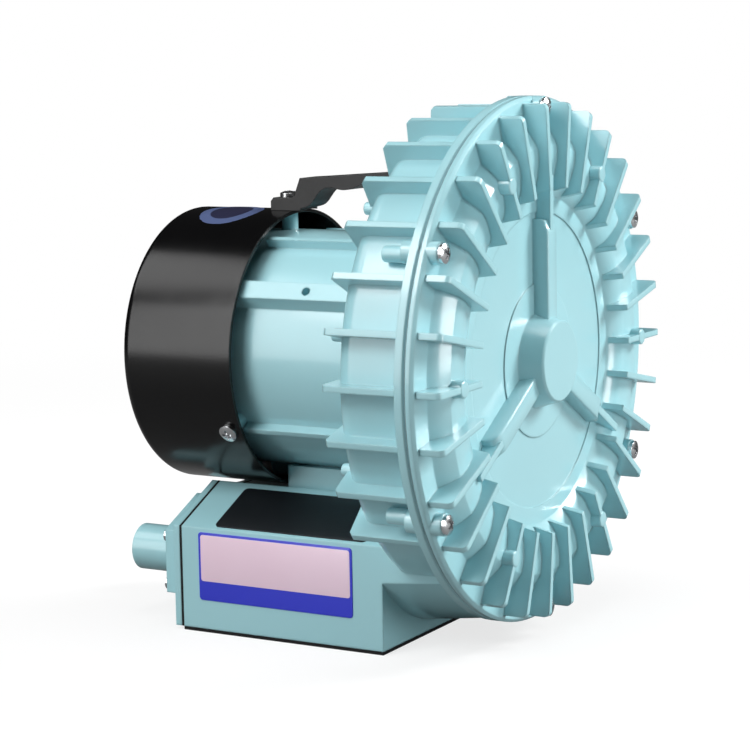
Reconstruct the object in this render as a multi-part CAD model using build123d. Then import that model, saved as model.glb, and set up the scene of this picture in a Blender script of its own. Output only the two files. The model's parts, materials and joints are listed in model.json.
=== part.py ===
from build123d import *
import math
import os

os.makedirs("parts", exist_ok=True)

# The blower stands on z = 0. The shaft lies along Y over x = 0, the cover faces -Y.
# Depths are measured from the cover's joint face: less than 0 is in front of it.
joint_y = -90.4
running_gap = 0.05
seat_gap = 0.02

# Side channel and impeller
channel_outer_radius = 95.0
channel_width = 21.0
channel_inner_radius = channel_outer_radius - channel_width
gasket_thickness = 0.6
front_channel_depth = 5.6
rear_channel_depth = 16.0
channel_wall = 3.0
impeller_front = 1.0
impeller_width = 16.0
impeller_side_gap = 0.5
impeller_tip_gap = 0.6
channel_wall_depth = impeller_front + impeller_width + impeller_side_gap
vane_count = 36
vane_thickness = 1.8
vane_sweep = 14.0
web_thickness = 4.0
impeller_hub_radius = 18.0
stripper_half_angle = 8.4

# Height of the shaft: the flange's radius and the gap under it
flange_width = 13.0
flange_radius = channel_outer_radius + flange_width
ground_clearance = 9.2
shaft_height = flange_radius + ground_clearance

# Front cover
cover_flange_thickness = 3.0
disc_face = 3.3
bulge_inner_radius = channel_inner_radius - 6.0
bulge_outer_radius = channel_outer_radius + 2.0
bulge_height = 9.0
hub_radius = 17.0
hub_foot_radius = 20.0
hub_height = 13.8
hub_edge = 0.8
hub_cavity_radius = 12.0
hub_cavity_depth = 10.3
disc_step_radius = bulge_inner_radius - 7.0
disc_step = 0.5
hub_ring_radius = 32.0
fin_pitch = 12.0
fin_height = 13.4
fin_radius = flange_radius - 2.4
fin_inner_radius = bulge_inner_radius + 2.8
fin_foot_radius = bulge_inner_radius + 0.3
fin_thickness = 2.6
fin_corner = 2.4
rib_angles = (90.0, 210.0, 330.0)
rib_thickness = 3.2
rib_height = 10.0
rib_end_radius = bulge_inner_radius + 8.0
pad_outer_radius = disc_step_radius - 3.0
pad_inner_radius = pad_outer_radius - 19.0
pad_width = 8.5
pad_height = 8.2

# Casing
casing_flange_thickness = 4.2
casing_corner = 8.0
casing_depth = channel_wall_depth + rear_channel_depth + 3.5
rear_plate_depth = channel_wall_depth + 6.5
rear_fin_depth = casing_depth + 1.6
rear_fin_radius = flange_radius - 3.2
rear_fin_inner_radius = channel_inner_radius - 4.0
rear_fin_span = (-36.0, 216.0)

# Screws of the cover
screw_circle_radius = flange_radius - 4.6
screw_angles = tuple(30.0 + 60.0 * i for i in range(6))
screw_boss_radius = 4.5
screw_boss_height = 6.6
screw_boss_depth = 9.0
m4_radius = 2.0
m4_head_radius = 4.0
m4_head_height = 2.7

# Motor
stator_start = rear_plate_depth + 34.0
stator_length = 45.0
stator_bore = 24.0
rotor_radius = stator_bore - 0.3
stator_slots = 24
slot_depth = 11.0
slot_width = 3.4
winding_overhang = 11.0
rotor_ring_width = 4.0

# Motor frame
frame_radius = 51.2
frame_bore = frame_radius - 4.2
frame_end = stator_start + stator_length + winding_overhang + 10.0
thin_rib_angles = (63.0, 117.0, 213.0, 327.0)
thin_rib_height = 4.2
thin_rib_thickness = 2.4
bar_angles = (32.0, 148.0)
bar_outer_radius = frame_radius + 5.4
bar_face_width = 7.8
bar_foot_width = 13.0
bar_hole_depth = rear_plate_depth + 54.5
bar_hole_radius = 1.85
bar_hole_length = 6.0

# Shaft, bearings
shaft_seat_radius = 8.5
impeller_seat_radius = 7.0
shaft_thread_radius = 4.0
nut_height = 6.5
washer_thickness = 1.6
shaft_front = impeller_front - washer_thickness - nut_height - 1.3
front_bearing = dict(bore=7.5, outer=17.5, width=11.0, start=rear_plate_depth + 1.5, ball=3.0, count=8)
rear_bearing = dict(bore=6.0, outer=16.0, width=10.0, start=frame_end - 14.0, ball=2.7, count=8)
seal_outer_radius = 13.0
seal_start = channel_wall_depth + 0.5
seal_width = 6.0
key_width = 4.0
key_height = 4.0
key_length = 12.0

# Rear end shield, fan and its cover
shield_thickness = 4.0
shield_screw_circle = frame_radius + 1.2
shield_screw_angles = (32.0, 148.0, 270.0)
cooling_fan_start = frame_end + shield_thickness + 3.0
cooling_fan_width = 18.0
cooling_fan_radius = frame_bore
cooling_fan_blades = 9
shaft_end = cooling_fan_start + cooling_fan_width + 3.0
fan_cover_radius = frame_radius + 8.8
fan_cover_wall = 1.4
fan_cover_start = frame_end - 15.0
fan_cover_end = cooling_fan_start + cooling_fan_width + 15.0
fan_cover_corner = 4.0
vent_slot_width = 3.4
post_radius = 3.6
post_angles = (90.0, 210.0, 330.0)
post_depth = fan_cover_start + 6.0

# Base box
base_half_width = 54.0
base_length = 97.8
base_start = casing_depth + 4.5
base_end = base_start + base_length
base_shoulder_height = 45.2
base_slope_angle = 24.8
base_wall = 4.0
trough_radius = fan_cover_radius + 2.2
belly_rear_side = 30.0
belly_rear_bottom = 4.6
belly_front_side = 33.7
belly_front_bottom = ground_clearance + 0.6
pedestal_half_width = 19.0
port_width = 24.0
port_height = 14.0
port_bottom = 27.2
port_offset = 27.0
pad_thickness = 1.5
plate_thickness = 2.0
plate_rim = 2.0
foot_hole_x = 2 * base_half_width - 20.0
foot_hole_y = base_length - 19.8
foot_boss_radius = 6.5
foot_boss_height = 12.0
m6_radius = 3.0
plate_screw_x = base_half_width - 6.5
plate_screw_y = 30.0
plate_screw_places = (
    (-plate_screw_x, 0.0), (plate_screw_x, 0.0), (0.0, -plate_screw_y), (0.0, plate_screw_y),
)
m3_radius = 1.5
m3_boss_radius = 4.0
m3_head_radius = 2.75

# Base end cover
end_gasket_thickness = 1.2
end_plate_thickness = 3.0
end_panel_thickness = 8.5
end_panel_wall = 3.0
end_panel_margin = 6.0
end_panel_bottom = 13.7
end_boss_radius = 5.5
end_cover_start = base_end + end_gasket_thickness
end_panel_face = end_cover_start + end_plate_thickness + end_panel_thickness
end_screw_x = base_half_width - 9.0
end_screw_low = end_panel_bottom + 3.5
end_screw_high = base_shoulder_height - 7.0
spigot_offset = port_offset
spigot_height = 27.6
spigot_radius = 10.15
spigot_bore = 7.5
spigot_end = end_panel_face + 25.8
spigot_collar_radius = 12.0
spigot_collar_length = 1.5
sleeve_length = 12.0
foam_radius = 14.0
foam_bore = 9.6
foam_length = base_length - 21.8

# Handle
handle_half_width = 7.0
handle_lug_start = rear_fin_depth + 1.8
handle_lug_end = handle_lug_start + 4.6
handle_screw_height = channel_outer_radius - 9.0
handle_rise = 15.0
handle_foot_height = 5.2
handle_foot_top = fan_cover_radius + handle_foot_height

# Terminal box on the far side of the motor
box_length = 42.0
box_start = rear_plate_depth + 22.0
box_half_height = 25.0
box_foot = frame_radius + 4.3
box_depth = 30.0
box_wall = 2.5
box_lid_thickness = 3.0
capacitor_radius = 11.5
capacitor_length = 30.0
wire_hole_radius = 3.5
wire_hole_depth = box_start + 7.0
gland_radius = 8.0
gland_bore = 3.5

axis_point = (0, joint_y, shaft_height)
turn_axis = Axis(axis_point, (0, -1, 0))
half_plane = Plane(origin=axis_point, x_dir=(1, 0, 0), z_dir=(0, 0, 1))


def outline(start, *steps):
    """Closed face in radius and depth. A step is a point, or an arc's middle and end."""
    edges = []
    here = start
    for step in steps:
        if isinstance(step[0], tuple):
            edges.append(ThreePointArc(here, step[0], step[1]))
            here = step[1]
        else:
            edges.append(Line(here, step))
            here = step
    edges.append(Line(here, start))
    return make_face(edges)


def turned(*steps):
    """Solid of revolution about the shaft from an outline in radius and depth."""
    return revolve(half_plane * outline(*steps), turn_axis)


def front_plane(depth):
    """Plane across the shaft, X to the right and Z up, at a depth."""
    return Plane(origin=(0, joint_y + depth, shaft_height), x_dir=(1, 0, 0), z_dir=(0, -1, 0))


def disc(radius, near, far):
    return extrude(front_plane(near) * Circle(radius), amount=near - far)


def ring(outer, inner, near, far):
    return disc(outer, near, far) - disc(inner, near - 1, far + 1)


def polar(radius, angle):
    a = math.radians(angle)
    return (radius * math.cos(a), radius * math.sin(a))


def turned_by(shape, angle):
    return shape.rotate(turn_axis, angle)


def rod(x, z, radius, near, far):
    """Round bar parallel to the shaft; x and z are measured from the shaft."""
    return extrude(front_plane(near) * Pos(x, z) * Circle(radius), amount=near - far)


def rods(places, radius, near, far):
    return [rod(x, z, radius, near, far) for x, z in places]


def block(x0, x1, y0, y1, z0, z1):
    return Pos((x0 + x1) / 2, (y0 + y1) / 2, (z0 + z1) / 2) * Box(x1 - x0, y1 - y0, z1 - z0)


def fin(profile, thickness):
    """Flat web in the plane of the shaft, at angle 0."""
    return extrude(half_plane * profile, amount=thickness / 2, both=True)


def pan_head(radius, height):
    """Screw head on the plane z = 0 with a domed top and a cross recess."""
    dome = Pos(0, 0, height - radius * 2) * Sphere(radius * 2)
    head = Cylinder(radius, height, align=(Align.CENTER, Align.CENTER, Align.MIN)) & dome
    for turn in (0, 90):
        arm = Rot(0, 0, turn) * Box(radius * 1.15, radius * 0.26, height)
        head -= Pos(0, 0, height) * arm
    return head


def screw(shank_radius, head_radius, head_height, length):
    """Pan-head screw along Z: the head stands on z = 0, the shank goes down."""
    shank = Pos(0, 0, -length / 2) * Cylinder(shank_radius - seat_gap, length)
    return pan_head(head_radius, head_height) + shank


def facing(origin, direction):
    """Location whose Z points along a direction."""
    return Plane(origin=origin, z_dir=direction).location


def save(name, *shapes):
    solids = [s for shape in shapes for s in shape.solids()]
    export_step(solids[0] if len(solids) == 1 else Compound(children=solids), f"parts/{name}.step")
    return solids


def fin_angles():
    return [fin_pitch * i for i in range(round(360 / fin_pitch))]


def rear_fin_angles():
    low, high = rear_fin_span
    return [a for a in fin_angles() if a <= high or a >= low + 360]


def bulge_steps(height, floor, inner, outer):
    """Front outline of the side channel's dome, from its inner to its outer foot."""
    return (
        ((inner + 4.2, -(floor + height) * 0.55), (inner + 10, -height + 0.7)),
        ((inner + 16, -height), (outer - 9, -height + 0.3)),
        ((outer - 3.4, -height * 0.6), (outer - 0.5, -cover_flange_thickness)),
    )


def cover_body():
    """Cover shell: hub, flat disc with its fine step, domed channel and flange."""
    dome = bulge_steps(bulge_height, disc_face, bulge_inner_radius, bulge_outer_radius)
    crown = (channel_inner_radius + channel_outer_radius) / 2
    return turned(
        (0, -hub_height),
        (hub_radius - hub_edge, -hub_height),
        (hub_radius, -hub_height + hub_edge),
        (hub_foot_radius, -disc_face - disc_step),
        (hub_ring_radius, -disc_face - disc_step),
        (hub_ring_radius, -disc_face),
        (disc_step_radius, -disc_face),
        (disc_step_radius, -disc_face - disc_step),
        (bulge_inner_radius, -disc_face - disc_step),
        *dome,
        (flange_radius - 1.2, -cover_flange_thickness),
        (flange_radius, -cover_flange_thickness + 1.2),
        (flange_radius, 0),
        (channel_outer_radius, 0),
        ((crown, -front_channel_depth), (channel_inner_radius, 0)),
        (hub_cavity_radius, 0),
        (hub_cavity_radius, -hub_cavity_depth),
        (0, -hub_cavity_depth),
    )


def cover_fin():
    """One cooling fin: full height from the flange across the dome to the disc."""
    profile = outline(
        (fin_radius, -1.5),
        (fin_radius, -fin_height + fin_corner),
        (
            (fin_radius - fin_corner * 0.29, -fin_height + fin_corner * 0.29),
            (fin_radius - fin_corner, -fin_height),
        ),
        (fin_inner_radius, -fin_height),
        (fin_foot_radius, -disc_face + 0.5),
        (channel_inner_radius - 2.0, -disc_face + 0.8),
        (channel_inner_radius + 6.0, -front_channel_depth - 0.8),
        (channel_outer_radius - 6.0, -front_channel_depth - 0.8),
        (channel_outer_radius - 1.0, -disc_face + 0.8),
        (channel_outer_radius + 3.0, -1.5),
    )
    return fin(profile, fin_thickness)


def cover_rib():
    """Radial rib on the disc with its wide pad, at angle 0."""
    web = outline(
        (hub_radius - 2, -disc_face + 0.5),
        (hub_radius - 2, -rib_height),
        (rib_end_radius, -rib_height),
        (rib_end_radius, -bulge_height + 2.5),
        (bulge_inner_radius, -disc_face + 0.5),
    )
    pad = outline(
        (pad_inner_radius, -disc_face + 0.5),
        (pad_inner_radius + 1.5, -pad_height),
        (pad_outer_radius - 1.5, -pad_height),
        (pad_outer_radius, -disc_face + 0.5),
    )
    return fin(web, rib_thickness) + fin(pad, pad_width)


def stripper(near, far):
    """Block that closes the side channel between its two ports."""
    plug = ring(channel_outer_radius - 0.1, channel_inner_radius + 0.1, near, far)
    reach = channel_outer_radius * math.tan(math.radians(stripper_half_angle))
    wedge = block(
        -reach, reach, joint_y + near - 1, joint_y + far + 1,
        shaft_height - channel_outer_radius - 1, shaft_height - channel_inner_radius + 1,
    )
    return plug & wedge


def front_cover():
    body = cover_body()
    web = cover_fin()
    body += [turned_by(web, a) for a in fin_angles()]
    rib = cover_rib()
    body += [turned_by(rib, a) for a in rib_angles]
    places = [polar(screw_circle_radius, a) for a in screw_angles]
    body += rods(places, screw_boss_radius, -screw_boss_height, -1.0)
    body += stripper(-front_channel_depth - 0.5, 0)
    body -= rods(places, m4_head_radius + 0.6, -fin_height - 1, -screw_boss_height)
    return body - rods(places, m4_radius + 0.2, -fin_height, 1.0)


def casing_body():
    """Rear half of the side channel, its back wall, the bearing seat and the motor frame."""
    joint = gasket_thickness
    crown = (channel_inner_radius + channel_outer_radius) / 2
    outer = channel_outer_radius + channel_wall
    crest = outer - casing_corner
    bearing = front_bearing
    seat = bearing["outer"]
    return turned(
        (channel_outer_radius, joint),
        (flange_radius - 1.0, joint),
        (flange_radius, joint + 1.0),
        (flange_radius, joint + casing_flange_thickness),
        (outer, joint + casing_flange_thickness),
        (outer, casing_depth - casing_corner),
        ((outer - casing_corner * 0.29, casing_depth - casing_corner * 0.29), (crest, casing_depth)),
        (channel_inner_radius + 4, casing_depth),
        ((channel_inner_radius - 1.5, casing_depth - 3.5), (channel_inner_radius - 4, casing_depth - 9)),
        (channel_inner_radius - 4, rear_plate_depth),
        (frame_radius, rear_plate_depth),
        (frame_radius, frame_end),
        (frame_bore, frame_end),
        (frame_bore, rear_plate_depth),
        (seat + 5, rear_plate_depth),
        (seat + 4, bearing["start"] + bearing["width"]),
        (seat, bearing["start"] + bearing["width"]),
        (seat, bearing["start"]),
        (seal_outer_radius, bearing["start"]),
        (seal_outer_radius, channel_wall_depth),
        (channel_inner_radius, channel_wall_depth),
        ((crown, channel_wall_depth + rear_channel_depth), (channel_outer_radius, channel_wall_depth)),
    )


def casing_fin():
    """Cooling fin round the rear half: along the outside, then inwards over the back."""
    outer = channel_outer_radius + channel_wall
    profile = outline(
        (rear_fin_radius, gasket_thickness + 1.0),
        (rear_fin_radius, rear_fin_depth - 1.5),
        (rear_fin_radius - 1.5, rear_fin_depth),
        (rear_fin_inner_radius + 14, rear_fin_depth + 1.6),
        (rear_fin_inner_radius + 2.5, rear_fin_depth + 1.6),
        (rear_fin_inner_radius - 2.5, rear_plate_depth - 1),
        (channel_inner_radius - 2, rear_plate_depth - 1),
        (channel_inner_radius + 3, casing_depth - 1.5),
        (outer - casing_corner, casing_depth - 1.5),
        (outer - 1.5, casing_depth - casing_corner),
        (outer - 1.5, gasket_thickness + 1.0),
    )
    return fin(profile, fin_thickness)


def base_section(shrink=0.0, floor=0.0):
    """Outline of the base box across the shaft, closed at the top by its two slopes."""
    slope = math.tan(math.radians(base_slope_angle))
    half = base_half_width - shrink
    shoulder = base_shoulder_height - shrink * (1 / math.cos(math.radians(base_slope_angle)) - slope)
    ridge = shoulder + half * slope
    points = [(-half, floor), (-half, shoulder), (0, ridge), (half, shoulder), (half, floor)]
    return make_face(Polyline(*points, close=True))


def base_prism(near, far, shrink=0.0, floor=0.0, trough=trough_radius):
    """Base box between two depths, hollowed on top by the trough round the motor."""
    bench = Plane(origin=(0, joint_y + near, 0), x_dir=(1, 0, 0), z_dir=(0, -1, 0))
    prism = extrude(bench * base_section(shrink, floor), amount=near - far)
    return prism - disc(trough, near - 1, far + 1)


def belly_face(depth, side, bottom):
    """Section of the rounded duct under the casing at a depth."""
    plane = Plane(origin=(0, joint_y + depth, 0), x_dir=(1, 0, 0), z_dir=(0, -1, 0))
    half = base_half_width
    edges = [
        ThreePointArc((-half, side), (0, bottom), (half, side)),
        Line((half, side), (half, base_shoulder_height)),
        Line((half, base_shoulder_height), (-half, base_shoulder_height)),
        Line((-half, base_shoulder_height), (-half, side)),
    ]
    return plane * make_face(edges)


def belly():
    """Rounded duct between the flange and the base box, outside the side channel."""
    front = belly_face(gasket_thickness + 2.0, belly_front_side, belly_front_bottom)
    rear = belly_face(base_start + 1.0, belly_rear_side, belly_rear_bottom)
    duct = loft([front, rear], ruled=True)
    return duct - disc(channel_outer_radius + channel_wall - 0.5, 0, casing_depth - casing_corner)


def chamber(side):
    """Hollow on one side of the base box, open below and behind."""
    hollow = base_prism(
        base_start + base_wall, base_end + 1, base_wall, pad_thickness - 1, trough_radius + base_wall
    )
    half = base_half_width - base_wall
    near, far = sorted((side * base_wall / 2, side * half))
    lane = block(near, far, joint_y + base_start, joint_y + base_end + 2, -1, shaft_height)
    return hollow & lane


def port(side):
    """Passage from the side channel into a chamber of the base box."""
    start = joint_y + impeller_front + impeller_width + channel_outer_radius / 12
    centre = side * port_offset
    return block(
        centre - port_width / 2, centre + port_width / 2, start, joint_y + base_start + base_wall + 1,
        port_bottom, port_bottom + port_height,
    )


def wide_bar():
    """Raised mounting bar along the motor frame, at angle 0."""
    foot = frame_radius - 1.5
    section = Polyline(
        (foot, -bar_foot_width / 2), (bar_outer_radius, -bar_face_width / 2),
        (bar_outer_radius, bar_face_width / 2), (foot, bar_foot_width / 2), close=True,
    )
    start = rear_plate_depth - 1
    return extrude(front_plane(start) * make_face(section), amount=start - frame_end)


def frame_details():
    """Ribs, bars and screw posts on the motor frame."""
    rib = extrude(
        front_plane(rear_plate_depth - 1) * Pos(frame_radius + thin_rib_height / 2 - 0.5, 0)
        * Rectangle(thin_rib_height + 1, thin_rib_thickness),
        amount=rear_plate_depth - 1 - (fan_cover_start + 2),
    )
    bar = wide_bar()
    shapes = [turned_by(rib, a) for a in thin_rib_angles]
    shapes += [turned_by(bar, a) for a in shield_screw_angles]
    top = fan_cover_radius - fan_cover_wall
    post = radial_hole(post_radius, post_depth, 0, top + 1, top - frame_bore)
    post &= disc(top - seat_gap, post_depth - 5, post_depth + 5)
    return shapes + [turned_by(post, a) for a in post_angles]


def radial_hole(radius, depth, angle, top, length):
    """Round bar that points at the shaft, from an outer radius inwards."""
    drill = Pos(top - length / 2, joint_y + depth, shaft_height) * Rot(0, 90, 0) * Cylinder(radius, length)
    return turned_by(drill, angle)


def foot_places():
    return [(sx * foot_hole_x / 2, sy * foot_hole_y / 2) for sx in (-1, 1) for sy in (-1, 1)]


def base_y_centre():
    return joint_y + (base_start + base_end) / 2


def end_screw_places():
    """Places of the six screws of the base's end cover, from the shaft."""
    slope = math.tan(math.radians(base_slope_angle))
    ridge = base_shoulder_height + base_half_width * slope
    top = min(shaft_height - trough_radius, ridge) - 9.8
    lows = [(x, end_screw_low) for x in (-end_screw_x, 0, end_screw_x)]
    highs = [(-end_screw_x, end_screw_high), (0, top), (end_screw_x, end_screw_high)]
    return [(x, z - shaft_height) for x, z in lows + highs]


def end_rods(radius, near, far):
    return rods(end_screw_places(), radius, near, far)


def terminal_pad():
    """Flat seat on the far side of the motor frame for the terminal box."""
    margin = 3.0
    return block(
        frame_bore + 1.5, box_foot, joint_y + box_start + margin, joint_y + box_start + box_length - margin,
        shaft_height - box_half_height + margin, shaft_height + box_half_height - margin,
    ) - disc(frame_bore, box_start, box_start + box_length)


def casing():
    body = casing_body()
    web = casing_fin()
    body += [turned_by(web, a) for a in rear_fin_angles()]
    places = [polar(screw_circle_radius, a) for a in screw_angles]
    body += rods(places, screw_boss_radius, gasket_thickness + 0.5, screw_boss_depth)
    body += belly()
    body += base_prism(base_start, base_end, 0.0, pad_thickness)
    pedestal = block(
        -pedestal_half_width, pedestal_half_width, joint_y + rear_plate_depth, joint_y + fan_cover_start - 2,
        shaft_height - trough_radius - 3, shaft_height - frame_radius + 2,
    )
    body += pedestal - disc(frame_radius - 1, rear_plate_depth - 1, fan_cover_start)
    body += frame_details()
    body += terminal_pad()
    body -= [chamber(-1), chamber(1)]
    for x, y in foot_places():
        boss = Pos(x, base_y_centre() + y, pad_thickness + foot_boss_height / 2)
        body += boss * Cylinder(foot_boss_radius, foot_boss_height)
    for x, y in plate_screw_places:
        boss = Pos(x, base_y_centre() + y, pad_thickness + foot_boss_height / 2)
        body += boss * Cylinder(m3_boss_radius, foot_boss_height)
    body += end_rods(end_boss_radius, base_end - 12, base_end)
    body += rod(0, handle_screw_height, m3_boss_radius + 2, casing_depth - 1.5, handle_lug_start)
    body += stripper(channel_wall_depth, casing_depth - 3)
    body -= [port(-1), port(1)]
    for x, y in foot_places():
        hole = Pos(x, base_y_centre() + y, pad_thickness + foot_boss_height / 2 - 2)
        body -= hole * Cylinder(m6_radius, foot_boss_height)
    body -= bottom_recess()
    body -= rods(places, m4_radius, 0, screw_boss_depth - 2)
    body -= end_rods(m3_radius, base_end - 9, base_end + 1)
    for x, y in plate_screw_places:
        body -= Pos(x, base_y_centre() + y, pad_thickness + 4) * Cylinder(m3_radius, 14)
    shield_places = [polar(shield_screw_circle, a) for a in shield_screw_angles]
    body -= rods(shield_places, m4_radius, frame_end - 12, frame_end + 1)
    body -= [radial_hole(bar_hole_radius, bar_hole_depth, a, bar_outer_radius + 1, bar_hole_length)
             for a in bar_angles]
    body -= [radial_hole(m4_radius, post_depth, a, fan_cover_radius, 9) for a in post_angles]
    body -= rod(0, handle_screw_height, m4_radius, casing_depth - 2.0, handle_lug_start + 1)
    return body - radial_hole(wire_hole_radius, wire_hole_depth, 0, box_foot + 1, box_foot + 2 - frame_bore)


def bottom_recess():
    """Seat of the bottom plate in the underside of the base box."""
    half = base_half_width - plate_rim
    return block(
        -half, half, joint_y + base_start + plate_rim, joint_y + base_end + 1,
        pad_thickness - 1, pad_thickness + plate_thickness,
    )


def cover_gasket():
    places = [polar(screw_circle_radius, a) for a in screw_angles]
    sheet = ring(flange_radius - 0.3, channel_outer_radius, 0, gasket_thickness)
    return sheet - rods(places, m4_radius + 0.2, -1, 2)


def cover_screws():
    part = screw(m4_radius, m4_head_radius, m4_head_height, screw_boss_height + screw_boss_depth - 2.6)
    seats = [(*polar(screw_circle_radius, a), a) for a in screw_angles]
    return [
        facing((x, joint_y - screw_boss_height, shaft_height + z), (0, -1, 0)) * Rot(0, 0, a) * part
        for x, z, a in seats
    ]


def impeller():
    """Wheel with swept vanes on both sides of its rim web."""
    start = impeller_front
    end = start + impeller_width
    middle = (start + end) / 2
    rim = channel_inner_radius
    tip = channel_outer_radius - impeller_tip_gap
    body = turned(
        (impeller_seat_radius + seat_gap, start),
        (impeller_hub_radius, start),
        (impeller_hub_radius + 1.0, middle - web_thickness / 2),
        (rim - 4.5, middle - web_thickness / 2),
        (rim - 3.0, start),
        (rim, start),
        ((rim + 5, middle - 5), (rim + 11, middle - 0.9)),
        (tip, middle - 0.9),
        (tip, middle + 0.9),
        (rim + 11, middle + 0.9),
        ((rim + 5, middle + 5), (rim, end)),
        (rim - 3.0, end),
        (rim - 4.5, middle + web_thickness / 2),
        (impeller_hub_radius + 1.0, middle + web_thickness / 2),
        (impeller_hub_radius, end),
        (impeller_seat_radius + seat_gap, end),
    )
    length = tip - rim + 6
    blade = Pos(rim - 3 + length / 2, 0) * Rectangle(length, vane_thickness)
    blade = Pos(rim, 0) * Rot(0, 0, vane_sweep) * Pos(-rim, 0) * blade
    vane = extrude(front_plane(start) * blade, amount=-impeller_width)
    vane &= ring(tip, rim - 1.5, start, end)
    body += [turned_by(vane, 360 / vane_count * i) for i in range(vane_count)]
    holes = [polar(46.0, 60 * i) for i in range(6)]
    body -= rods(holes, 5.0, start, end)
    return body - key_space(impeller_seat_radius + 1.5 + seat_gap, start - 1, end + 1, 0.03)


def key_space(top, near, far, play=0.0):
    """Bar of the key's width above the shaft's centre."""
    half = key_width / 2 + play
    low = shaft_height + top - key_height
    return block(-half, half, joint_y + near, joint_y + far, low, shaft_height + top)


def impeller_key():
    near = impeller_front + 2
    return key_space(impeller_seat_radius + 1.5, near, near + key_length)


def impeller_washer():
    return ring(10.0, shaft_thread_radius + 0.2, impeller_front - washer_thickness, impeller_front)


def impeller_nut():
    near = impeller_front - washer_thickness - nut_height
    hexagon = extrude(front_plane(near) * RegularPolygon(7.5, 6), amount=-nut_height)
    return hexagon - disc(shaft_thread_radius + seat_gap, near - 1, impeller_front)


def spacer_sleeve():
    near = impeller_front + impeller_width
    return ring(9.0, impeller_seat_radius + seat_gap, near, front_bearing["start"])


def shaft():
    front = front_bearing
    rear = rear_bearing
    seat = impeller_seat_radius
    body = turned(
        (0, shaft_front),
        (shaft_thread_radius - 0.8, shaft_front),
        (shaft_thread_radius, shaft_front + 0.8),
        (shaft_thread_radius, impeller_front + 0.4),
        (seat, impeller_front + 0.4),
        (seat, front["start"]),
        (front["bore"] - seat_gap, front["start"]),
        (front["bore"] - seat_gap, front["start"] + front["width"]),
        (shaft_seat_radius, front["start"] + front["width"]),
        (shaft_seat_radius, rear["start"]),
        (rear["bore"] - seat_gap, rear["start"]),
        (rear["bore"] - seat_gap, shaft_end - 1),
        (rear["bore"] - 1, shaft_end),
        (0, shaft_end),
    )
    near = impeller_front + 2
    body -= key_space(impeller_seat_radius + 1.5, near, near + key_length)
    clip = cooling_fan_start + cooling_fan_width + 0.05
    return body - ring(rear["bore"] + 1, rear["bore"] - 0.9, clip, clip + 1.0)


def circlip(near, inner, outer):
    """Spring ring with its gap upwards."""
    body = ring(outer, inner + seat_gap, near + 0.02, near + 0.98)
    gap = block(-2.2, 2.2, joint_y + near - 1, joint_y + near + 2, shaft_height, shaft_height + outer + 1)
    return body - gap


def shaft_seal():
    """Lip seal in the back wall, running on the distance sleeve."""
    lip = 9.0 + running_gap
    return turned(
        (seal_outer_radius - seat_gap, seal_start),
        (seal_outer_radius - seat_gap, seal_start + seal_width),
        (lip + 1.5, seal_start + seal_width),
        (lip + 1.5, seal_start + 4.5),
        (lip, seal_start + 3.5),
        (lip + 1.2, seal_start + 1.5),
        (lip + 1.2, seal_start),
    )


def race(bearing):
    """Torus swept by the balls, with their running gap."""
    pitch = (bearing["bore"] + bearing["outer"]) / 2
    middle = bearing["start"] + bearing["width"] / 2
    return front_plane(middle) * Torus(pitch, bearing["ball"] + running_gap)


def bearing_outer(bearing):
    land = (bearing["bore"] + bearing["outer"]) / 2 + bearing["ball"] * 0.55
    far = bearing["start"] + bearing["width"]
    return ring(bearing["outer"] - seat_gap, land, bearing["start"] + seat_gap, far) - race(bearing)


def bearing_inner(bearing):
    land = (bearing["bore"] + bearing["outer"]) / 2 - bearing["ball"] * 0.55
    far = bearing["start"] + bearing["width"]
    return ring(land, bearing["bore"], bearing["start"] + seat_gap, far - seat_gap) - race(bearing)


def bearing_balls(bearing):
    pitch = (bearing["bore"] + bearing["outer"]) / 2
    middle = bearing["start"] + bearing["width"] / 2
    places = [polar(pitch, 360 / bearing["count"] * i) for i in range(bearing["count"])]
    balls = [Pos(x, joint_y + middle, shaft_height + z) * Sphere(bearing["ball"]) for x, z in places]
    return balls


def bearing_cage(bearing):
    """Ring that spaces the balls, with a pocket for each."""
    pitch = (bearing["bore"] + bearing["outer"]) / 2
    middle = bearing["start"] + bearing["width"] / 2
    reach = bearing["ball"] + 1.2
    body = ring(pitch + 0.8, pitch - 0.8, middle - reach, middle + reach)
    pocket = radial_hole(bearing["ball"] + running_gap, middle, 0, pitch + 2, 4)
    return body - [turned_by(pocket, 360 / bearing["count"] * i) for i in range(bearing["count"])]


def rotor_bars(radius, near, far):
    return rods([polar(rotor_radius - 3.6, 20 * i) for i in range(18)], radius, near, far)


def rotor_core():
    far = stator_start + stator_length
    body = ring(rotor_radius, shaft_seat_radius + seat_gap, stator_start, far)
    return body - rotor_bars(1.7, stator_start - 1, far + 1)


def rotor_cage():
    """Cast cage of the rotor: two end rings joined by bars through the core."""
    near = stator_start - rotor_ring_width
    far = stator_start + stator_length
    body = ring(rotor_radius - 1, 12.0, near, stator_start - seat_gap)
    body += ring(rotor_radius - 1, 12.0, far + seat_gap, far + rotor_ring_width)
    return body + rotor_bars(1.65, stator_start - 1, far + 1)


def slot_bar(width, inner, outer, near, far):
    lane = Pos((inner + outer) / 2, 0) * Rectangle(outer - inner, width)
    return extrude(front_plane(near) * lane, amount=near - far)


def stator_core():
    far = stator_start + stator_length
    body = ring(frame_bore - seat_gap, stator_bore, stator_start, far)
    slot = slot_bar(slot_width, stator_bore + 2, stator_bore + 2 + slot_depth, stator_start - 1, far + 1)
    slot += slot_bar(1.6, stator_bore - 2, stator_bore + 3, stator_start - 1, far + 1)
    return body - [turned_by(slot, 360 / stator_slots * i) for i in range(stator_slots)]


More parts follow.
